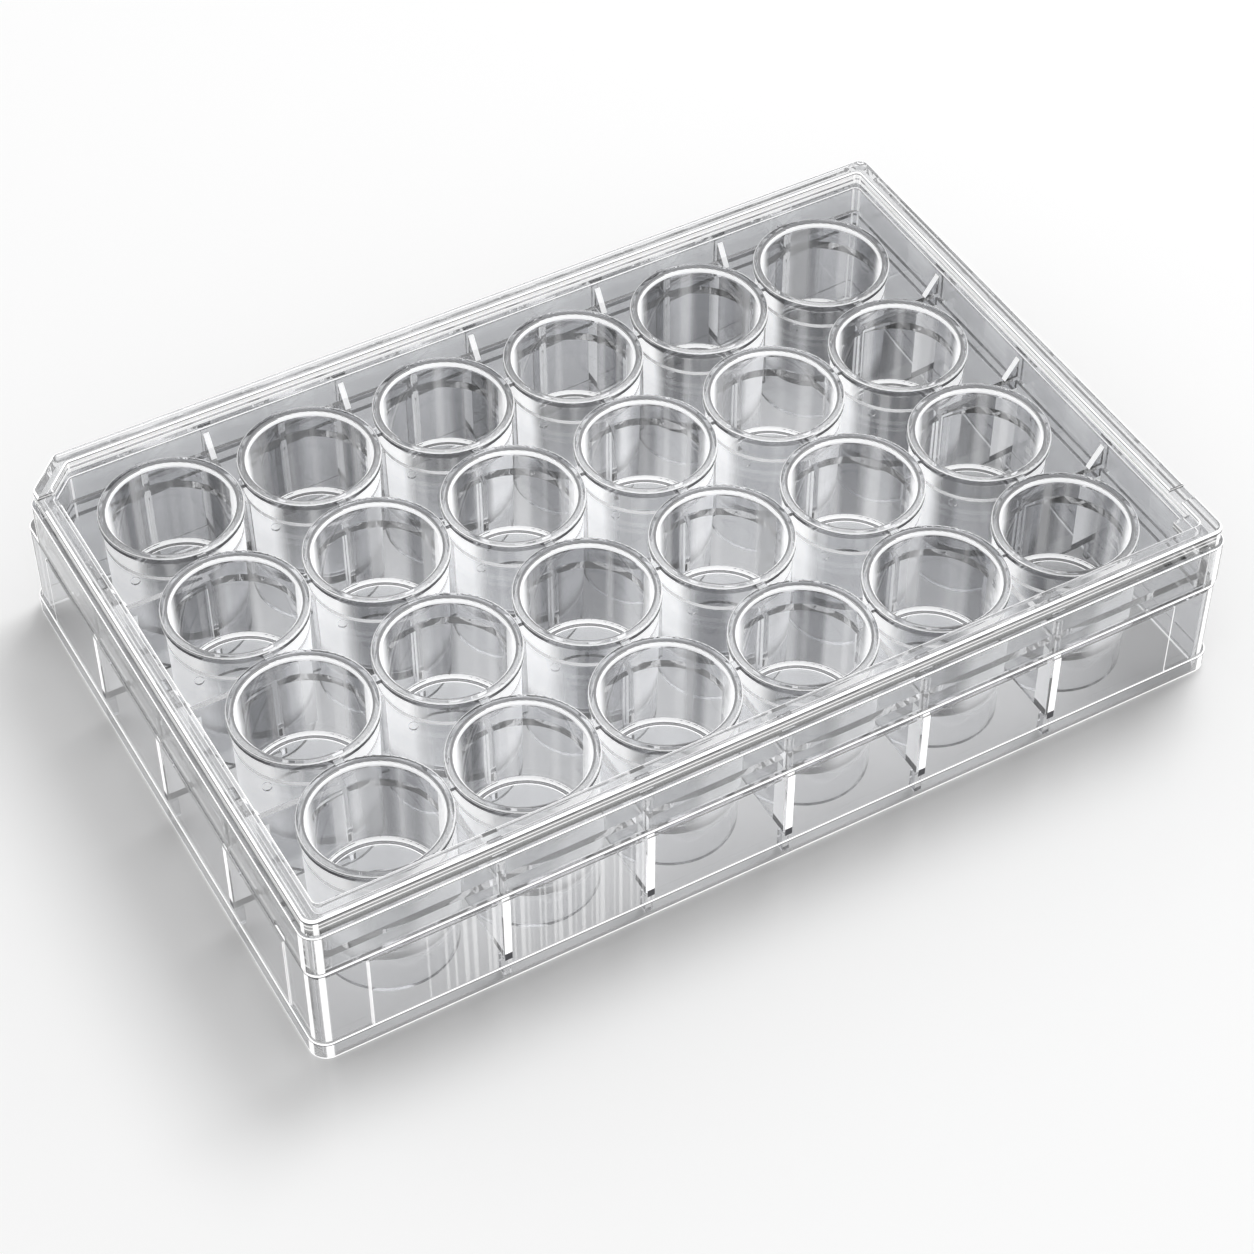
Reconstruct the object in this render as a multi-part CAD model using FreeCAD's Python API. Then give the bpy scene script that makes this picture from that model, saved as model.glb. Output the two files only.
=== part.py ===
"""Twenty-four-well culture plate with its loose lid, both moulded in clear polystyrene.

Lengths are millimetres. The origin is the centre of the footprint on the bench, +X runs
along the long side from column 1 to column 6, +Y towards row A, and +Z is up.
"""
import FreeCAD, Part
import math
import os
from FreeCAD import Vector

# --- well grid; with the wells below it makes the standard 127.76 x 85.48 footprint
COLUMNS = 6
ROWS = 4
COLLAR_GAP = 0.7            # clear gap between neighbouring collars, for a 19.3 pitch
END_MARGIN = 15.63          # well centre to the short side's outer face
SIDE_MARGIN = 13.79         # well centre to the long side's outer face
FOOT_CORNER_RADIUS = 2.3

# --- plate: skirt that stands on the bench
BAND_HEIGHT = 2.9           # thick band round the foot of the skirt
BAND_STEP = 0.4             # how far the skirt wall stands back from the band
BAND_ROUND = 0.3
SKIRT_WALL = 1.3
LEDGE_HEIGHT = 15.4         # top of the skirt, where the lid's rim comes down
LEDGE_THICKNESS = 1.4
LEDGE_ROUND = 0.35
PANEL_RELIEF = 0.2          # label panel standing proud of the skirt wall
PANEL_END_MARGIN = 7.5      # bare skirt between a label panel and the corner
PANEL_TOP_MARGIN = 0.8

# --- plate: upper wall, deck and ribs
UPPER_WALL = 1.2
WALL_ABOVE_RIM = 0.4        # upper wall's top over the well rims
UPPER_ROUND = 0.25
DECK_DROP = 3.6             # well rims down to the deck's upper face
DECK_THICKNESS = 1.2
WEB_THICKNESS = 0.8
WEB_HEIGHT = 3.7            # bench to the lower edge of the webs
BACK_WEB_DROP = 1.4         # well rims down to the webs that stand up behind row A
GUSSET_DEPTH = 2.0
GUSSET_HEIGHT = 3.0
GUIDE_WIDTH = 0.8           # upright guides that centre the lid on the upper wall
GUIDE_PLAY = 0.15
GUIDE_TOP_MARGIN = 0.9
FOOT_RIB_WIDTH = 1.0        # short ribs behind the band, under every web
FOOT_RIB_DEPTH = 1.1
FOOT_RIB_HEIGHT = 3.3

# --- wells
RIM_HEIGHT = 21.3
BORE_RADIUS = 8.05          # at the mouth
BORE_DRAFT = 0.20           # how much narrower the bore is at its floor
TUBE_WALL = 0.9
WELL_DEPTH = 14.0
FLOOR_THICKNESS = 1.2
FLOOR_ROUND = 0.35
TUBE_FOOT = 0.6             # bench to the tube's lower edge, well below the well's floor
COLLAR_HEIGHT = 1.1
COLLAR_STEP = 0.35          # how far the collar stands out of the tube
RIM_ROUND = 0.28
MOUTH_CHAMFER = 0.22
RIM_LINK_WIDTH = 1.2        # small links between neighbouring collars
RIM_LINK_HEIGHT = 0.6
RIM_LINK_DROP = 0.3
GATE_MARK_RADIUS = 0.6      # small round gate mark on the deck beside each well
GATE_MARK_HEIGHT = 0.25
GATE_MARK_GAP = 0.5         # collar to the mark's edge
GATE_MARK_TURN = 219.0      # degrees from +X

# --- corner A1 is cut off on the lid and on the plate's upper wall
CHAMFER_LEG = 5.2           # on the footprint outline
CHAMFER_BLEND = 1.9

# --- lid
LID_INSET = 0.2             # lid's outer face behind the footprint outline
LID_WALL = 1.1
LID_CLEARANCE = 0.5         # lid's inner face to the plate's upper wall
LID_LIFT = 0.4              # ledge to the lid's lower edge
LID_EDGE_ROUND = 0.25
LID_PAD_HEIGHT = 0.3        # pads that hold the lid off the wall so the wells breathe
LID_PAD_LENGTH = 1.8
LID_PANEL = 1.1
SHOULDER_RISE = 0.5         # panel's under face up to the shoulder outside the bead
SHOULDER_WIDTH = 0.5
BEAD_WIDTH = 2.3            # stacking bead round the top
BEAD_HEIGHT = 1.9           # above the panel's upper face
BEAD_ROUND = 0.55
BEAD_INNER_ROUND = 0.35
NOTCH_LENGTH = 2.6          # shallow notches across the bead near corners A1 and D6
NOTCH_DEPTH = 0.6
NOTCH_FROM_CORNER = 7.2
CORNER_PAD = 2.4            # square gate pad inside the bead at corner D6
CORNER_PAD_DROP = 0.7
THUMB_LENGTH = 2.8          # thumb notch in the lid's lower edge, short side near D1
THUMB_HEIGHT = 1.0
THUMB_FROM_CORNER = 6.5

# --- worked out
WELL_PITCH = 2 * (BORE_RADIUS + TUBE_WALL + COLLAR_STEP) + COLLAR_GAP
FOOT_LENGTH = (COLUMNS - 1) * WELL_PITCH + 2 * END_MARGIN
FOOT_WIDTH = (ROWS - 1) * WELL_PITCH + 2 * SIDE_MARGIN
SKIRT_INSIDE = BAND_STEP + SKIRT_WALL
UPPER_OUTSIDE = LID_INSET + LID_WALL + LID_CLEARANCE
UPPER_INSIDE = UPPER_OUTSIDE + UPPER_WALL
UPPER_WALL_HEIGHT = RIM_HEIGHT + WALL_ABOVE_RIM
BACK_WEB_TOP = RIM_HEIGHT - BACK_WEB_DROP
DECK_TOP = RIM_HEIGHT - DECK_DROP
DECK_UNDER = DECK_TOP - DECK_THICKNESS
FLOOR_HEIGHT = RIM_HEIGHT - WELL_DEPTH
FLOOR_UNDER = FLOOR_HEIGHT - FLOOR_THICKNESS
LID_BOTTOM = LEDGE_HEIGHT + LID_LIFT
PANEL_UNDER = UPPER_WALL_HEIGHT + LID_PAD_HEIGHT
PANEL_TOP = PANEL_UNDER + LID_PANEL
SHOULDER_TOP = PANEL_UNDER + SHOULDER_RISE
LID_TOP = PANEL_TOP + BEAD_HEIGHT
BEAD_OUTSIDE = LID_INSET + SHOULDER_WIDTH
BEAD_INSIDE = BEAD_OUTSIDE + BEAD_WIDTH
OVERLAP = 0.3               # how far pieces of one moulding run into each other
THROUGH = 1.0               # how far a cutter runs past what it cuts
SHARPEST_CORNER = 0.8       # least radius of any corner seen from above

COLUMN_X = [(i - (COLUMNS - 1) / 2) * WELL_PITCH for i in range(COLUMNS)]
ROW_Y = [((ROWS - 1) / 2 - i) * WELL_PITCH for i in range(ROWS)]
BETWEEN_X = [(a + b) / 2 for a, b in zip(COLUMN_X, COLUMN_X[1:])]
BETWEEN_Y = [(a + b) / 2 for a, b in zip(ROW_Y, ROW_Y[1:])]


def rounded_loop(points, radii):
    """Closed wire through the corner points, each corner rounded by a tangent arc."""
    starts, arcs, ends = [], [], []
    count = len(points)
    for i in range(count):
        corner = points[i]
        back = (points[i - 1] - corner).normalize()
        ahead = (points[(i + 1) % count] - corner).normalize()
        half = back.getAngle(ahead) / 2
        reach = radii[i] / math.tan(half)
        to_centre = (back + ahead).normalize() * (radii[i] / math.sin(half))
        middle = corner + to_centre - (to_centre * 1.0).normalize() * radii[i]
        start = corner + back * reach
        end = corner + ahead * reach
        starts.append(start)
        ends.append(end)
        arcs.append(Part.Arc(start, middle, end).toShape())
    edges = []
    for i in range(count):
        edges.append(arcs[i])
        edges.append(Part.makeLine(ends[i], starts[(i + 1) % count]))
    return Part.Wire(edges)


def outline(inset, cut_corner=False):
    """Footprint outline moved inwards, at z = 0, with or without the cut A1 corner."""
    x = FOOT_LENGTH / 2 - inset
    y = FOOT_WIDTH / 2 - inset
    radius = max(FOOT_CORNER_RADIUS - inset, SHARPEST_CORNER)
    points = [Vector(-x, -y, 0), Vector(x, -y, 0), Vector(x, y, 0)]
    radii = [radius] * 3
    if cut_corner:
        leg = CHAMFER_LEG - inset * (2 - math.sqrt(2))
        blend = max(CHAMFER_BLEND - inset, SHARPEST_CORNER)
        points += [Vector(leg - x, y, 0), Vector(-x, y - leg, 0)]
        radii += [blend, blend]
    else:
        points.append(Vector(-x, y, 0))
        radii.append(radius)
    return rounded_loop(points, radii)


def slab(inset, bottom, top, cut_corner=False):
    """Solid of the footprint outline, moved inwards, between two heights."""
    face = Part.Face(outline(inset, cut_corner))
    face.translate(Vector(0, 0, bottom))
    return face.extrude(Vector(0, 0, top - bottom))


def rounded_at(solid, height, radius):
    """Round every edge of a slab that lies in the plane at one height."""
    def flat(edge):
        box = edge.BoundBox
        return abs(box.ZMin - height) < 1e-6 and abs(box.ZMax - height) < 1e-6
    return solid.makeFillet(radius, [edge for edge in solid.Edges if flat(edge)])


def block(x0, x1, y0, y1, z0, z1):
    """Box between two corners given in any order."""
    low = Vector(min(x0, x1), min(y0, y1), min(z0, z1))
    return Part.makeBox(abs(x1 - x0), abs(y1 - y0), abs(z1 - z0), low)


def joined(shapes):
    """One solid from shapes that run into each other."""
    whole = shapes[0].multiFuse(shapes[1:])
    return whole.removeSplitter()


def tube_radius(height):
    """Outer radius of a well's tube at one height, following the bore's draft."""
    share = (RIM_HEIGHT - height) / (RIM_HEIGHT - FLOOR_HEIGHT)
    return BORE_RADIUS + TUBE_WALL - BORE_DRAFT * share


def well_profile():
    """Half section of one well: floor, tube with its open foot, collar and rounded rim."""
    collar_radius = BORE_RADIUS + TUBE_WALL + COLLAR_STEP
    collar_low = RIM_HEIGHT - COLLAR_HEIGHT
    foot_outer = tube_radius(TUBE_FOOT)
    mouth_low = RIM_HEIGHT - RIM_ROUND - MOUTH_CHAMFER
    floor_radius = BORE_RADIUS - BORE_DRAFT
    sine45 = math.sin(math.pi / 4)

    def at(radius, height):
        return Vector(radius, 0, height)

    def corner(centre_r, centre_z, size, way_r, way_z, first, last):
        middle = at(centre_r + way_r * size * sine45, centre_z + way_z * size * sine45)
        return Part.Arc(first, middle, last).toShape()

    path = [
        at(0, FLOOR_UNDER),
        at(foot_outer - TUBE_WALL, FLOOR_UNDER),
        at(foot_outer - TUBE_WALL, TUBE_FOOT),
        at(foot_outer, TUBE_FOOT),
        at(tube_radius(collar_low - COLLAR_STEP), collar_low - COLLAR_STEP),
        at(collar_radius, collar_low),
        at(collar_radius, RIM_HEIGHT - RIM_ROUND),
    ]
    edges = [Part.makeLine(a, b) for a, b in zip(path, path[1:])]
    outer_top = at(collar_radius - RIM_ROUND, RIM_HEIGHT)
    inner_top = at(BORE_RADIUS + MOUTH_CHAMFER + RIM_ROUND, RIM_HEIGHT)
    inner_side = at(BORE_RADIUS + MOUTH_CHAMFER, RIM_HEIGHT - RIM_ROUND)
    bore_top = at(BORE_RADIUS, mouth_low)
    wall_foot = at(floor_radius, FLOOR_HEIGHT + FLOOR_ROUND)
    floor_edge = at(floor_radius - FLOOR_ROUND, FLOOR_HEIGHT)
    floor_middle = at(0, FLOOR_HEIGHT)
    edges.append(corner(outer_top.x, path[-1].z, RIM_ROUND, 1, 1, path[-1], outer_top))
    edges.append(Part.makeLine(outer_top, inner_top))
    edges.append(corner(inner_top.x, inner_side.z, RIM_ROUND, -1, 1, inner_top, inner_side))
    edges.append(Part.makeLine(inner_side, bore_top))
    edges.append(Part.makeLine(bore_top, wall_foot))
    edges.append(corner(floor_edge.x, wall_foot.z, FLOOR_ROUND, 1, -1, wall_foot, floor_edge))
    edges.append(Part.makeLine(floor_edge, floor_middle))
    edges.append(Part.makeLine(floor_middle, path[0]))
    return Part.Face(Part.Wire(edges))


def well_centres():
    """Every well's centre on the bench plane."""
    return [Vector(x, y, 0) for y in ROW_Y for x in COLUMN_X]


def wells():
    """The wells, each a solid of revolution at its place in the grid."""
    one = well_profile().revolve(Vector(0, 0, 0), Vector(0, 0, 1), 360)
    placed = []
    for centre in well_centres():
        copy = one.copy()
        copy.translate(centre)
        placed.append(copy)
    return placed


def bore_cutters():
    """Cylinders inside the tube walls that clear webs and deck out of the bores."""
    radius = BORE_RADIUS - BORE_DRAFT + TUBE_WALL / 2
    height = RIM_HEIGHT - TUBE_FOOT + THROUGH
    low = Vector(0, 0, TUBE_FOOT)
    return [Part.makeCylinder(radius, height, low + centre) for centre in well_centres()]


def label_panels():
    """Slightly raised panels on the four faces of the skirt."""
    top = LEDGE_HEIGHT - PANEL_TOP_MARGIN
    face = BAND_STEP - PANEL_RELIEF
    half_x = FOOT_LENGTH / 2 - PANEL_END_MARGIN
    half_y = FOOT_WIDTH / 2 - PANEL_END_MARGIN
    x_face = FOOT_LENGTH / 2 - face
    y_face = FOOT_WIDTH / 2 - face
    x_back = FOOT_LENGTH / 2 - SKIRT_INSIDE + OVERLAP
    y_back = FOOT_WIDTH / 2 - SKIRT_INSIDE + OVERLAP
    low = BAND_HEIGHT - OVERLAP
    panels = []
    for side in (-1, 1):
        panels.append(block(-half_x, half_x, side * y_back, side * y_face, low, top))
        panels.append(block(side * x_back, side * x_face, -half_y, half_y, low, top))
    return panels


def skirt():
    """Lower tier: band, wall, label panels and ledge, open underneath."""
    band = slab(0, 0, BAND_HEIGHT)
    band = rounded_at(band, 0, BAND_ROUND)
    band = rounded_at(band, BAND_HEIGHT, BAND_ROUND)
    body = rounded_at(slab(BAND_STEP, BAND_ROUND, LEDGE_HEIGHT), LEDGE_HEIGHT, LEDGE_ROUND)
    hollow = slab(SKIRT_INSIDE, -THROUGH, LEDGE_HEIGHT - LEDGE_THICKNESS)
    mouth = slab(UPPER_INSIDE, -THROUGH, LEDGE_HEIGHT + THROUGH, cut_corner=True)
    return joined([band, body] + label_panels()).cut([hollow, mouth])


def upper_wall():
    """Upper tier's wall, with corner A1 cut off."""
    low = LEDGE_HEIGHT - LEDGE_THICKNESS
    outside = slab(UPPER_OUTSIDE, low, UPPER_WALL_HEIGHT, cut_corner=True)
    inside = slab(UPPER_INSIDE, low - THROUGH, UPPER_WALL_HEIGHT + THROUGH, cut_corner=True)
    return rounded_at(outside.cut(inside), UPPER_WALL_HEIGHT, UPPER_ROUND)


def deck():
    """Deck that joins the wells to the upper wall."""
    return slab(UPPER_INSIDE - OVERLAP, DECK_UNDER, DECK_TOP, cut_corner=True)


def webs():
    """Upright webs under the deck: along the grid lines, out to the skirt between wells,
    and behind each well of row A.
    """
    half = WEB_THICKNESS / 2
    high = DECK_UNDER + OVERLAP
    under_ledge = LEDGE_HEIGHT - LEDGE_THICKNESS + OVERLAP
    skirt_x = FOOT_LENGTH / 2 - SKIRT_INSIDE + OVERLAP
    skirt_y = FOOT_WIDTH / 2 - SKIRT_INSIDE + OVERLAP
    inner_x = FOOT_LENGTH / 2 - UPPER_INSIDE + OVERLAP
    inner_y = FOOT_WIDTH / 2 - UPPER_INSIDE + OVERLAP
    made = []
    for y in ROW_Y:
        made.append(block(COLUMN_X[0], COLUMN_X[-1], y - half, y + half, WEB_HEIGHT, high))
    for x in COLUMN_X:
        made.append(block(x - half, x + half, ROW_Y[0], ROW_Y[-1], WEB_HEIGHT, high))
    for x in BETWEEN_X:
        for row, side in ((ROW_Y[0], 1), (ROW_Y[-1], -1)):
            made.append(block(x - half, x + half, row, side * inner_y, WEB_HEIGHT, high))
            made.append(block(x - half, x + half, row, side * skirt_y, WEB_HEIGHT, under_ledge))
    for y in BETWEEN_Y:
        for column, side in ((COLUMN_X[0], -1), (COLUMN_X[-1], 1)):
            made.append(block(column, side * inner_x, y - half, y + half, WEB_HEIGHT, high))
            made.append(block(column, side * skirt_x, y - half, y + half, WEB_HEIGHT, under_ledge))
    for x in COLUMN_X:
        made.append(block(x - half, x + half, ROW_Y[0], inner_y, WEB_HEIGHT, BACK_WEB_TOP))
        made.append(block(x - half, x + half, ROW_Y[0], skirt_y, WEB_HEIGHT, under_ledge))
    return made


def along_walls(piece):
    """Copies of a piece made for the +Y wall at x = 0, at every web on all four walls.

    The piece is given as a function of the wall's distance from the centre.
    """
    placed = []
    for wall, places, turns in ((FOOT_WIDTH / 2, BETWEEN_X, (0, 180)),
                                (FOOT_LENGTH / 2, BETWEEN_Y, (90, 270))):
        for turn in turns:
            for place in places:
                copy = piece(wall)
                copy.translate(Vector(place, 0, 0))
                copy.rotate(Vector(0, 0, 0), Vector(0, 0, 1), turn)
                placed.append(copy)
    return placed


def gusset(wall):
    """Three-cornered fin on the upper wall's inner face, standing on the deck."""
    back = wall - UPPER_INSIDE + OVERLAP
    front = wall - UPPER_INSIDE - GUSSET_DEPTH
    low = DECK_TOP - OVERLAP
    points = [Vector(0, front, low), Vector(0, back, low), Vector(0, back, DECK_TOP + GUSSET_HEIGHT),
              Vector(0, back - OVERLAP, DECK_TOP + GUSSET_HEIGHT), Vector(0, front, DECK_TOP)]
    face = Part.Face(Part.makePolygon(points + points[:1]))
    face.translate(Vector(-WEB_THICKNESS / 2, 0, 0))
    return face.extrude(Vector(WEB_THICKNESS, 0, 0))


def lid_guide(wall):
    """Upright guide on the upper wall's outer face that keeps the lid central."""
    back = wall - UPPER_OUTSIDE - OVERLAP
    front = wall - UPPER_OUTSIDE + LID_CLEARANCE - GUIDE_PLAY
    half = GUIDE_WIDTH / 2
    return block(-half, half, back, front, LEDGE_HEIGHT - OVERLAP, UPPER_WALL_HEIGHT - GUIDE_TOP_MARGIN)


def foot_rib(wall):
    """Short rib behind the band, under a web."""
    back = wall - SKIRT_INSIDE + OVERLAP
    half = FOOT_RIB_WIDTH / 2
    return block(-half, half, back - OVERLAP - FOOT_RIB_DEPTH, back, BAND_ROUND, FOOT_RIB_HEIGHT)


def rim_links():
    """Small links between the collars of neighbouring wells."""
    half = RIM_LINK_WIDTH / 2
    reach = WELL_PITCH / 2 - BORE_RADIUS - TUBE_WALL / 2
    top = RIM_HEIGHT - RIM_LINK_DROP
    low = top - RIM_LINK_HEIGHT
    links = []
    for x in BETWEEN_X:
        for y in ROW_Y:
            links.append(block(x - reach, x + reach, y - half, y + half, low, top))
    for x in COLUMN_X:
        for y in BETWEEN_Y:
            links.append(block(x - half, x + half, y - reach, y + reach, low, top))
    return links


def gate_marks():
    """Small round marks that the mould's gates leave on the deck, one beside each well."""
    reach = BORE_RADIUS + TUBE_WALL + COLLAR_STEP + GATE_MARK_GAP + GATE_MARK_RADIUS
    turn = math.radians(GATE_MARK_TURN)
    offset = Vector(reach * math.cos(turn), reach * math.sin(turn), DECK_TOP - OVERLAP)
    height = GATE_MARK_HEIGHT + OVERLAP
    return [Part.makeCylinder(GATE_MARK_RADIUS, height, centre + offset) for centre in well_centres()]


def plate():
    """The whole plate, one moulding."""
    frame = joined([skirt(), upper_wall(), deck()] + webs() + along_walls(gusset)
                   + along_walls(lid_guide) + along_walls(foot_rib) + rim_links() + gate_marks())
    return joined([frame.cut(bore_cutters())] + wells())


def lid_pad(wall):
    """Pad under the lid's panel that rests on the plate's upper wall."""
    outer = wall - UPPER_OUTSIDE - UPPER_ROUND
    inner = wall - UPPER_INSIDE + UPPER_ROUND
    half = LID_PAD_LENGTH / 2
    return block(-half, half, inner, outer, UPPER_WALL_HEIGHT, PANEL_UNDER + OVERLAP)


def bead():
    """Raised bead round the lid's top, on which the next plate stacks."""
    outer = slab(BEAD_OUTSIDE, PANEL_UNDER + OVERLAP, LID_TOP, cut_corner=True)
    inner = slab(BEAD_INSIDE, PANEL_UNDER, LID_TOP + THROUGH, cut_corner=True)
    outer = rounded_at(outer, LID_TOP, BEAD_ROUND)
    ring = outer.cut(inner)

    def mouth_edge(edge):
        box = edge.BoundBox
        level = abs(box.ZMin - LID_TOP) < 1e-6 and abs(box.ZMax - LID_TOP) < 1e-6
        within = FOOT_LENGTH / 2 - BEAD_INSIDE + 1e-3
        tall = FOOT_WIDTH / 2 - BEAD_INSIDE + 1e-3
        return level and max(-box.XMin, box.XMax) < within and max(-box.YMin, box.YMax) < tall
    return ring.makeFillet(BEAD_INNER_ROUND, [edge for edge in ring.Edges if mouth_edge(edge)])


def lid():
    """The whole lid, one moulding, at its place on the plate."""
    cover = slab(LID_INSET, LID_BOTTOM, SHOULDER_TOP, cut_corner=True)
    cover = rounded_at(cover, LID_BOTTOM, LID_EDGE_ROUND)
    cover = rounded_at(cover, SHOULDER_TOP, LID_EDGE_ROUND)
    panel = slab(BEAD_INSIDE - OVERLAP, PANEL_UNDER, PANEL_TOP, cut_corner=True)
    hollow = slab(LID_INSET + LID_WALL, LID_BOTTOM - THROUGH, PANEL_UNDER, cut_corner=True)
    corner_x = FOOT_LENGTH / 2 - BEAD_INSIDE
    corner_y = FOOT_WIDTH / 2 - BEAD_INSIDE
    gate_pad = block(corner_x + OVERLAP, corner_x - CORNER_PAD, -corner_y - OVERLAP,
                     CORNER_PAD - corner_y, PANEL_TOP - OVERLAP, LID_TOP - CORNER_PAD_DROP)
    whole = joined([cover.cut(hollow), panel, bead(), gate_pad] + along_walls(lid_pad))
    return whole.cut(lid_notches())


def lid_notches():
    """Cutters for the two bead notches and the thumb notch."""
    edge = FOOT_LENGTH / 2
    low = LID_TOP - NOTCH_DEPTH
    high = LID_TOP + THROUGH
    near = FOOT_WIDTH / 2 - NOTCH_FROM_CORNER
    far = near - NOTCH_LENGTH
    inner = edge - BEAD_INSIDE - THROUGH
    thumb_near = THUMB_FROM_CORNER - FOOT_WIDTH / 2
    return [
        block(-edge - THROUGH, -inner, near, far, low, high),
        block(inner, edge + THROUGH, -near, -far, low, high),
        block(-edge - THROUGH, LID_INSET + LID_WALL + THROUGH / 2 - edge, thumb_near,
              thumb_near + THUMB_LENGTH, LID_BOTTOM - THROUGH, LID_BOTTOM + THUMB_HEIGHT),
    ]


def main():
    os.makedirs("parts", exist_ok=True)
    for name, shape in (("plate", plate()), ("lid", lid())):
        box = shape.BoundBox
        print(name, "solids", len(shape.Solids), "valid", shape.isValid(), "volume", round(shape.Volume, 1),
              "size", round(box.XLength, 3), round(box.YLength, 3), round(box.ZMin, 3), round(box.ZMax, 3))
        shape.exportStep("parts/" + name + ".step")


main()
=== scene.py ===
"""Clear culture plate with its loose lid, dressed, lit and seen on a glossy white bench."""
import math

import bpy
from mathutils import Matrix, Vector


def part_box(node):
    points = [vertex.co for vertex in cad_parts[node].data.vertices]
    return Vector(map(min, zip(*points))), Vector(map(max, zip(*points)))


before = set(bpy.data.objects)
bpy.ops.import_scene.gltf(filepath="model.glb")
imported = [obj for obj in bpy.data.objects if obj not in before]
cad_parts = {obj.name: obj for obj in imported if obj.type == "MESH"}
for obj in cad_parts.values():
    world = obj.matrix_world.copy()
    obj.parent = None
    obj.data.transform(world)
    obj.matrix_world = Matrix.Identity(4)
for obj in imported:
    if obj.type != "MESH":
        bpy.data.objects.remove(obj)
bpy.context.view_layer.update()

# --- the camera, which stands off the front left corner and looks down into the wells
CAMERA_TURN = math.radians(-29.51)
CAMERA_RISE = math.radians(46.79)
CAMERA_DISTANCE = 0.40239
CAMERA_AIM = Vector((-0.00297, -0.00781, 0.010))
CAMERA_LENS = 91.19
CAMERA_SENSOR = 36.0
CAMERA_NEAR = 0.01

# --- clear polystyrene, with painted shade on its walls and in streaks down the wells
PLASTIC_INDEX = 1.57
PLATE_COLOUR = (0.72, 0.725, 0.74, 1)
LID_COLOUR = (0.885, 0.89, 0.895, 1)
FLAT_COLOUR = (0.905, 0.91, 0.92, 1)    # level faces, and the wells' tubes below their floors; the walls' darker tint is painted shade
STREAK_SHADE = (0.34, 0.345, 0.36, 1)
STREAK_LINES = 170.0        # painted dark streaks of shade down the wells' walls, waves per metre
STREAK_STEP = (0.46, 0.62)

# --- how lamp light and the bench's light pass the walls
LAMP_DARK = (0.10, 0.10, 0.103, 1)
LAMP_SLANT = (0.25, 0.95)   # facing between which a wall comes to hold the light back
TUBE_HOLD = 0.04            # share of that on the wells' walls
SKIRT_HOLD = 0.42           # the least that the outer walls hold back
LAST_BEND = 7               # rays go straight on after this many bends

# --- painted light: a glowing white film that stands for light gathered at edges, and painted dark lines of shade beside it
PAINTED_GLOW = 0.65             # glow of the painted light film, standing for light that the walls carry to their edges
PAINTED_FILM_ROUGHNESS = 0.3
# colours of the painted highlights and of the painted dark lines of shade
LIGHT_LINE = (1.0, 1.0, 1.0, 1)
SHADE_LINE = (0.04, 0.04, 0.045, 1)
LINE_SPREAD = 0.00005       # added on both sides of each line

# --- painted highlights and painted dark lines on rounded edges, by the upright part of the surface's direction: 0 on a wall, 1 on a level face
WALL_ENDS = (0.10, 0.40)
STEEP_STARTS = (0.04, 0.08)
STEEP_ENDS = (0.30, 0.40)
ROUND_ENDS = (0.80, 0.95)
ROUND_SHARE = 0.90
WELL_SHARE = 0.75           # of that on the wells' rims and floors
STEEP_SHARE = 0.90          # the painted dark line of shade beside each rounded edge
CORNER_STARTS = (0.10, 0.25)
CORNER_ENDS = (0.70, 0.85)
CORNER_SHARE = 0.75         # painted highlight on upright rounded corners

# --- the wells
WELL_PITCH = 0.0193
COLUMNS = 6
ROWS = 4
BORE_REACH = (0.0075, 0.0083)
TUBE_REACH = (0.0084, 0.0094)
TUBE_FADE = (0.004, 0.010)
OUTER_SLANT = (0.34, 0.48)  # facing between which a painted highlight whitens a tube's outside
INNER_SLANT = (0.62, 0.86)  # and its bore
INNER_SHARE = 0.8
DRAW_LINES = 500.0          # painted highlight lines up the tubes, standing for draw lines, waves per metre
DRAW_STEP = (0.45, 0.75)
DRAW_SHARE = 0.22
RIM_HEIGHT = (0.0206, 0.0214)
RIM_RINGS = (0.0080, 0.00835, 0.00855)              # painted highlight ring, then painted dark ring of shade, from the bore outwards
RIM_SHARE = 0.85
FLOOR_HEIGHT = (0.0069, 0.0078)
FLOOR_RINGS = (0.0078, 0.00752, 0.00715, 0.00700)   # painted highlight, painted dark and painted highlight rings, inwards
FLOOR_DARK = 0.6            # of the rims' share, on the painted dark ring of shade
UNDER_RIM = (0.02045, 0.02090)
UNDER_REACH = 0.00917
UNDER_SHARE = 0.45          # painted dark line of shade round each collar below its rim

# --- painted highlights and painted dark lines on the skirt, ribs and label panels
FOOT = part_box("plate")[1]   # half the footprint's length and width
SKIRT_FACE = 0.00075        # the skirt's outer faces lie within this of the footprint
FOOT_LINE = 0.00040         # painted highlight along the foot of the skirt
RIB_HALF = 0.00045
RIB_HEIGHT = (0.0037, 0.0150)
RIB_SHARE = 0.80
RIB_FOOT = 0.0011           # painted dark foot of shade at each rib
PANEL_LINE = 0.00012        # half width of the painted highlight line at a label panel's ends
PANEL_END = 0.0075          # skirt left bare at each corner
PANEL_HEIGHT = (0.0029, 0.0146)
PANEL_SHARE = 0.6
STRIPE_LINES = 1600.0       # fine upright lines on the front label panel, drawn as painted highlights, waves per metre
STRIPE_STEP = (0.45, 0.65)
STRIPE_PLACE = (-0.049, -0.018)
STRIPE_HEIGHT = (0.003, 0.0145)
STRIPE_SHARE = 0.22

# --- painted highlights on the lid's bead
BEAD_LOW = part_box("lid")[1][2] - 0.0018
# faint painted sheen over the whole bead
BEAD_SHARE = 0.08
BEAD_LINES = 1700.0         # fine painted highlight lines up the bead, per metre
BEAD_STEP = (0.28, 0.36)
BEAD_LINE_SHARE = 0.55

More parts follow.
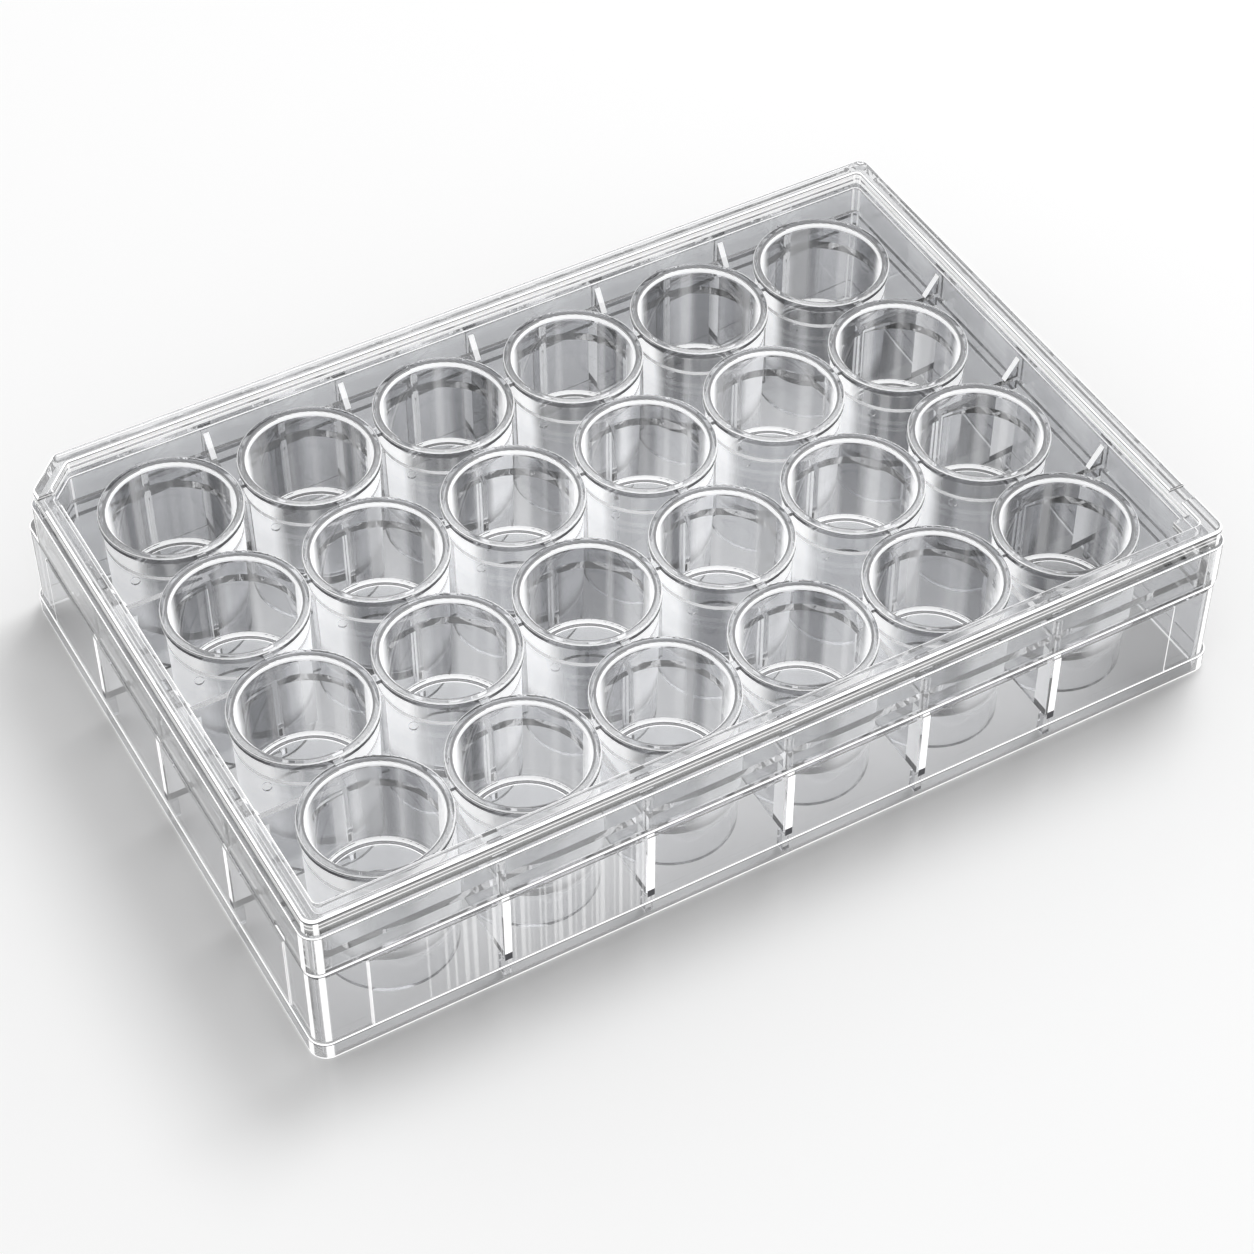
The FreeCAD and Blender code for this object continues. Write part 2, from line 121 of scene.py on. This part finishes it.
# --- the room that the plastic mirrors
FILL_LEVEL = 0.61           # the plain light on everything
ROOM_LEVEL = 0.25
BAND_LOW = 0.02             # bright band round the room, as heights on the unit sphere
BAND_HIGH = 0.36
BAND_BLUR = 0.06
BAND_LEVEL = 1.0
OVERHEAD = 0.90
OVERHEAD_BLUR = 0.05
OVERHEAD_LEVEL = 1.2

# --- bench and lamp
BENCH_HALF = 2.0
BENCH_COLOUR = (0.97, 0.97, 0.97, 1)
BENCH_ROUGHNESS = 0.16
BENCH_INDEX = 1.4
KEY_PLACE = Vector((0.74, 0.40, 1.28))
KEY_SIZE = 0.7
KEY_POWER = 12.7

# --- ray tracing
BOUNCES = 10
SEE_THROUGH = 18            # clear walls that one straight ray may cross


class Socket:
    """A socket or a number in shader maths; each operator adds its Math node."""

    def __init__(self, shader, link):
        self.shader = shader
        self.link = link

    def math(self, operation, *others):
        inputs = dict(enumerate((self,) + others))
        return self.shader.node("ShaderNodeMath", {"operation": operation}, inputs)

    def __add__(self, other):
        return self.math("ADD", other)

    __radd__ = __add__

    def __mul__(self, other):
        return self.math("MULTIPLY", other)

    __rmul__ = __mul__

    def __sub__(self, other):
        return self.math("SUBTRACT", other)

    def __rsub__(self, other):
        return self.shader.node("ShaderNodeMath", {"operation": "SUBTRACT"}, {0: other, 1: self})

    def __pow__(self, other):
        return self.math("POWER", other)

    def __abs__(self):
        return self.math("ABSOLUTE")

    def highest(self, *others):
        top = self
        for other in others:
            top = top.math("MAXIMUM", other)
        return top

    def stepped(self, low, high):
        """0 below low, 1 above high, and smooth between them."""
        settings = {"interpolation_type": "SMOOTHSTEP"}
        return self.shader.node("ShaderNodeMapRange", settings, {0: self, 1: low, 2: high})

    def over(self, limit):
        """1 above a limit, 0 below."""
        return self.math("GREATER_THAN", limit)

    def under(self, limit):
        """1 below a limit, 0 above."""
        return self.math("LESS_THAN", limit)

    def within(self, low, high):
        """1 from low to high, 0 outside."""
        return self.math("COMPARE", (low + high) / 2, (high - low) / 2 + LINE_SPREAD)


class Shader:
    """The nodes of one material or of the world."""

    def __init__(self, owner):
        owner.use_nodes = True
        self.tree = owner.node_tree
        self.tree.nodes.clear()

    def node(self, kind, settings=None, inputs=None, output=0):
        """Adds a node: its settings first, then the values or links of its sockets."""
        made = self.tree.nodes.new(kind)
        for name, value in (settings or {}).items():
            setattr(made, name, value)
        for name, value in (inputs or {}).items():
            if isinstance(value, Socket):
                self.tree.links.new(value.link, made.inputs[name])
            else:
                made.inputs[name].default_value = value
        return Socket(self, made.outputs[output]) if made.outputs else None

    def out(self, socket, name):
        """Another output of the node that a socket came from."""
        return Socket(self, socket.link.node.outputs[name])

    def mixed(self, share, first, second):
        """A colour from first at share 0 to second at share 1."""
        inputs = {0: share, 6: first, 7: second}
        return self.node("ShaderNodeMix", {"data_type": "RGBA"}, inputs, 2)

    def blended(self, share, first, second):
        """A surface from first at share 0 to second at share 1."""
        return self.node("ShaderNodeMixShader", None, {0: share, 1: first, 2: second})


class Spot:
    """Where a point of the surface lies on the plate or its lid, and which way it faces."""

    def __init__(self, shader):
        self.shader = shader
        self.place = shader.node("ShaderNodeTexCoord", output="Object")
        self.across = shader.node("ShaderNodeSeparateXYZ", None, {0: self.place}, "X")
        self.along = shader.out(self.across, "Y")
        self.high = shader.out(self.across, "Z")
        self.from_column, self.from_row = from_well(self.across), from_well(self.along)
        self.in_columns, self.in_rows = among(self.across, COLUMNS), among(self.along, ROWS)
        self.well_area = self.in_columns * self.in_rows
        self.off_wells = 1 - self.well_area
        self.reach = (self.from_column ** 2 + self.from_row ** 2) ** 0.5
        self.tube = self.reach.within(*TUBE_REACH) * self.well_area
        self.bore = self.reach.within(*BORE_REACH) * self.well_area
        self.facing = shader.node("ShaderNodeLayerWeight", None, {"Blend": 0.5}, "Facing")
        normal = shader.node("ShaderNodeNewGeometry", output="Normal")
        self.front = 1 - shader.out(normal, "Backfacing")
        east = shader.node("ShaderNodeSeparateXYZ", None, {0: normal}, "X")
        self.bend = abs(east) * abs(shader.out(east, "Y")) * 2
        self.rise = abs(shader.out(east, "Z"))
        self.wall = 1 - self.rise.stepped(*WALL_ENDS)

    def upright_lines(self, scale):
        """Noise that is the same at every height, so it draws upright lines."""
        return self.shader.node("ShaderNodeTexNoise", {"noise_dimensions": "2D"}, {
            "Vector": self.place, "Scale": scale, "Detail": 0.0})


def from_well(place):
    """How far a place lies from the nearest column or row of wells, signed."""
    return ((place * (1 / WELL_PITCH)).math("FRACT") - 0.5) * WELL_PITCH


def among(place, count):
    """1 within a number of well pitches about the middle, 0 beyond."""
    return abs(place).under(count / 2 * WELL_PITCH)


def beside(offset):
    """1 on the line midway between two columns or rows, as wide as a rib."""
    return abs(offset).over(WELL_PITCH / 2 - RIB_HALF - LINE_SPREAD)


def rounded_edge_highlights(spot):
    """Painted highlights on every rounded edge, with a painted dark line of shade where it turns into the
    wall.
    """
    steep = spot.rise.stepped(*STEEP_STARTS) - spot.rise.stepped(*STEEP_ENDS)
    steep = steep * spot.high.over(FOOT_LINE)
    light = (spot.rise.stepped(*STEEP_ENDS) - spot.rise.stepped(*ROUND_ENDS)) * ROUND_SHARE
    light = light * (1 - spot.well_area * (1 - WELL_SHARE))
    upright = spot.bend.stepped(*CORNER_STARTS) - spot.bend.stepped(*CORNER_ENDS)
    corner = upright * spot.off_wells * CORNER_SHARE
    foot_line = spot.high.under(FOOT_LINE) * spot.off_wells
    return light.highest(steep * STEEP_SHARE, corner, foot_line), steep


def tube_side_highlights(spot):
    """Painted highlights whiten the tubes and bores where they are seen aslant, and along their draw lines.
    """
    outer = spot.facing.stepped(*OUTER_SLANT) * spot.tube
    inner = spot.facing.stepped(*INNER_SLANT) * spot.bore * INNER_SHARE
    drawn = spot.upright_lines(DRAW_LINES).stepped(*DRAW_STEP) * DRAW_SHARE
    light = outer.highest(inner, drawn * spot.tube.highest(spot.bore))
    return light * spot.wall * spot.high.stepped(*TUBE_FADE)


def painted_rim_rings(spot):
    """A painted highlight ring and a painted dark ring of shade on each well's rim, and a painted dark line
    of shade round its collar.
    """
    at_rim = spot.high.within(*RIM_HEIGHT) * spot.well_area * RIM_SHARE
    light = spot.reach.within(*RIM_RINGS[:2]) * at_rim
    dark = spot.reach.within(*RIM_RINGS[1:]) * at_rim
    collar = spot.high.within(*UNDER_RIM) * spot.reach.over(UNDER_REACH) * spot.well_area
    collar = collar * spot.wall * UNDER_SHARE
    return light.highest(dark, collar), dark.highest(collar.over(0))


def painted_floor_rings(spot):
    """Painted highlight, painted dark and painted highlight rings round each well's floor."""
    outer, second, third, inner = FLOOR_RINGS
    at_floor = spot.high.within(*FLOOR_HEIGHT) * spot.well_area * RIM_SHARE
    light = spot.reach.within(second, outer).highest(spot.reach.within(inner, third)) * at_floor
    dark = spot.reach.within(third, second) * at_floor * FLOOR_DARK
    return light.highest(dark), dark.over(0)


def rib_highlights(spot):
    """Painted highlights at the ends of the webs, white lines behind the skirt with a painted dark foot of
    shade each.
    """
    by_column = beside(spot.from_column) * (1 - spot.in_rows) * among(spot.across, COLUMNS - 1)
    by_row = beside(spot.from_row) * (1 - spot.in_columns) * among(spot.along, ROWS - 1)
    on_skirt = by_column.highest(by_row) * spot.wall
    light = on_skirt * spot.high.within(*RIB_HEIGHT) * RIB_SHARE
    foot = on_skirt * spot.high.within(RIB_HEIGHT[0], RIB_HEIGHT[0] + RIB_FOOT)
    return light.highest(foot), foot


def label_panel_highlights(spot):
    """Painted highlight lines at the panels' ends, and fine painted highlight lines up the front one."""
    width, depth = abs(spot.across), abs(spot.along)
    long_end, short_end = FOOT[0] - PANEL_END, FOOT[1] - PANEL_END
    on_long = width.within(long_end - PANEL_LINE, long_end + PANEL_LINE)
    on_short = depth.within(short_end - PANEL_LINE, short_end + PANEL_LINE)
    ends = (on_long * depth.over(FOOT[1] - SKIRT_FACE)).highest(on_short * width.over(FOOT[0] - SKIRT_FACE))
    ends = ends * spot.high.within(*PANEL_HEIGHT) * PANEL_SHARE
    front = spot.along.under(SKIRT_FACE - FOOT[1]) * spot.wall
    striped = front * spot.across.within(*STRIPE_PLACE) * spot.high.within(*STRIPE_HEIGHT)
    stripes = spot.upright_lines(STRIPE_LINES).stepped(*STRIPE_STEP) * striped * STRIPE_SHARE
    return ends.highest(stripes)


def bead_highlights(spot):
    """Painted highlights in fine level lines up the sides of the lid's bead, over a faint painted sheen."""
    offset = abs((spot.high * BEAD_LINES).math("FRACT") - 0.5)
    line = offset.stepped(*BEAD_STEP) * spot.wall * BEAD_LINE_SHARE
    return spot.high.over(BEAD_LOW) * line.highest(BEAD_SHARE)


def painted_light_film(spot):
    """The glowing painted highlights and painted dark lines of shade on the outer faces, and how much of
    them shows.
    """
    shader = spot.shader
    edge, edge_dark = rounded_edge_highlights(spot)
    rim, rim_dark = painted_rim_rings(spot)
    floor, floor_dark = painted_floor_rings(spot)
    rib, rib_dark = rib_highlights(spot)
    shown = edge.highest(rim, floor, rib, tube_side_highlights(spot), label_panel_highlights(spot), bead_highlights(spot))
    shade = shader.mixed(edge_dark.highest(rim_dark, floor_dark, rib_dark), LIGHT_LINE, SHADE_LINE)
    painted_coat = shader.node("ShaderNodeBsdfPrincipled", None, {
        "Base Color": shade, "Roughness": PAINTED_FILM_ROUGHNESS,
        "Emission Color": shade, "Emission Strength": PAINTED_GLOW})
    return shown * spot.front, painted_coat


def glass(spot, colour):
    """The clear plastic itself, with painted shade: darker in streaks down the wells' walls, and on walls
    than on level faces.
    """
    shader = spot.shader
    streak_shade = spot.upright_lines(STREAK_LINES).stepped(*STREAK_STEP) * spot.tube.highest(spot.bore)
    shaded_walls = shader.mixed(streak_shade, colour, STREAK_SHADE)
    below_floors = spot.high.under(FLOOR_HEIGHT[0]) * spot.well_area
    tint = shader.mixed(spot.rise.stepped(*ROUND_ENDS).highest(below_floors), shaded_walls, FLAT_COLOUR)
    return shader.node("ShaderNodeBsdfPrincipled", None, {
        "Base Color": tint, "Roughness": 0.0, "IOR": PLASTIC_INDEX, "Transmission Weight": 1.0})


def passage(spot):
    """What lamp rays meet: free inner walls, and outer walls that hold some light back."""
    shader = spot.shader
    slant = spot.facing.stepped(*LAMP_SLANT) * (1 - spot.well_area * (1 - TUBE_HOLD))
    held = slant.highest(spot.wall * spot.off_wells * SKIRT_HOLD)
    lets = shader.node("ShaderNodeBsdfTransparent")
    holds = shader.node("ShaderNodeBsdfTransparent", None, {"Color": LAMP_DARK})
    return shader.blended(held, lets, holds)


def clear_plastic(name, colour):
    """Clear moulded polystyrene with glowing painted highlights where it would gather light, painted dark
    lines and painted shade.
    """
    material = bpy.data.materials.new(name)
    material.cycles.emission_sampling = "NONE"
    shader = Shader(material)
    spot = Spot(shader)
    shown, painted_coat = painted_light_film(spot)
    seen = shader.blended(shown, glass(spot, colour), painted_coat)
    path = shader.node("ShaderNodeLightPath", output="Is Shadow Ray")
    straight = path.highest(shader.out(path, "Is Diffuse Ray"),
                            shader.out(path, "Ray Depth").stepped(LAST_BEND, LAST_BEND + 1))
    surface = shader.blended(straight, seen, passage(spot))
    shader.node("ShaderNodeOutputMaterial", None, {"Surface": surface})
    return material


def bench():
    """Glossy white bench top under the plate."""
    mesh = bpy.data.meshes.new("bench")
    corners = [(-1, -1), (1, -1), (1, 1), (-1, 1)]
    mesh.from_pydata([(x * BENCH_HALF, y * BENCH_HALF, 0) for x, y in corners], [], [(0, 1, 2, 3)])
    top = bpy.data.objects.new("bench", mesh)
    bpy.context.scene.collection.objects.link(top)
    material = bpy.data.materials.new("bench_white")
    shader = Shader(material)
    surface = shader.node("ShaderNodeBsdfPrincipled", None, {
        "Base Color": BENCH_COLOUR, "Roughness": BENCH_ROUGHNESS, "IOR": BENCH_INDEX})
    shader.node("ShaderNodeOutputMaterial", None, {"Surface": surface})
    mesh.materials.append(material)


def key_lamp():
    """Square soft lamp off the back right, aimed at the middle of the plate."""
    light = bpy.data.lights.new("key", "AREA")
    light.shape = "SQUARE"
    light.size = KEY_SIZE
    light.energy = KEY_POWER
    lamp = bpy.data.objects.new("key", light)
    lamp.location = KEY_PLACE
    lamp.rotation_euler = (-KEY_PLACE).to_track_quat("-Z", "Y").to_euler()
    lamp.visible_glossy = False
    lamp.visible_transmission = False
    bpy.context.scene.collection.objects.link(lamp)


def studio():
    """The room: a plain level on everything, and for mirrored and clear rays a bright band
    round it and a bright patch overhead, so that clear edges show dark and light."""
    world = bpy.data.worlds.new("studio")
    bpy.context.scene.world = world
    shader = Shader(world)
    way = shader.node("ShaderNodeTexCoord", output="Generated")
    high = shader.node("ShaderNodeSeparateXYZ", None, {0: way}, "Z")
    band = high.stepped(BAND_LOW, BAND_LOW + BAND_BLUR) - high.stepped(BAND_HIGH - BAND_BLUR, BAND_HIGH)
    overhead = high.stepped(OVERHEAD - OVERHEAD_BLUR, OVERHEAD)
    mirrored = band * BAND_LEVEL + overhead * OVERHEAD_LEVEL + ROOM_LEVEL
    path = shader.node("ShaderNodeLightPath", output="Is Glossy Ray")
    clear = path.highest(shader.out(path, "Is Transmission Ray"))
    shown = (mirrored * clear + FILL_LEVEL * (1 - clear)).highest(shader.out(path, "Is Camera Ray"))
    glow = shader.node("ShaderNodeBackground", None, {"Color": (1, 1, 1, 1), "Strength": shown})
    shader.node("ShaderNodeOutputWorld", None, {"Surface": glow})


def camera():
    """The camera, off the front left corner."""
    data = bpy.data.cameras.new("camera")
    data.lens = CAMERA_LENS
    data.sensor_width = CAMERA_SENSOR
    data.clip_start = CAMERA_NEAR
    seen = bpy.data.objects.new("camera", data)
    flat = math.cos(CAMERA_RISE)
    way = Vector((math.sin(CAMERA_TURN) * flat, -math.cos(CAMERA_TURN) * flat, math.sin(CAMERA_RISE)))
    seen.location = CAMERA_AIM + way * CAMERA_DISTANCE
    seen.rotation_euler = (-way).to_track_quat("-Z", "Y").to_euler()
    bpy.context.scene.collection.objects.link(seen)
    bpy.context.scene.camera = seen


def tracing():
    """Enough bounces for light to pass through the walls of wells, webs and lid."""
    cycles = bpy.context.scene.cycles
    cycles.max_bounces = BOUNCES
    cycles.transmission_bounces = BOUNCES
    cycles.glossy_bounces = BOUNCES
    cycles.transparent_max_bounces = SEE_THROUGH
    cycles.caustics_reflective = False
    cycles.caustics_refractive = False


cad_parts["plate"].material_slots[0].material = clear_plastic("polystyrene_plate", PLATE_COLOUR)
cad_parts["lid"].material_slots[0].material = clear_plastic("polystyrene_lid", LID_COLOUR)
bench()
studio()
key_lamp()
camera()
tracing()
bpy.context.scene.view_settings.view_transform = "Standard"
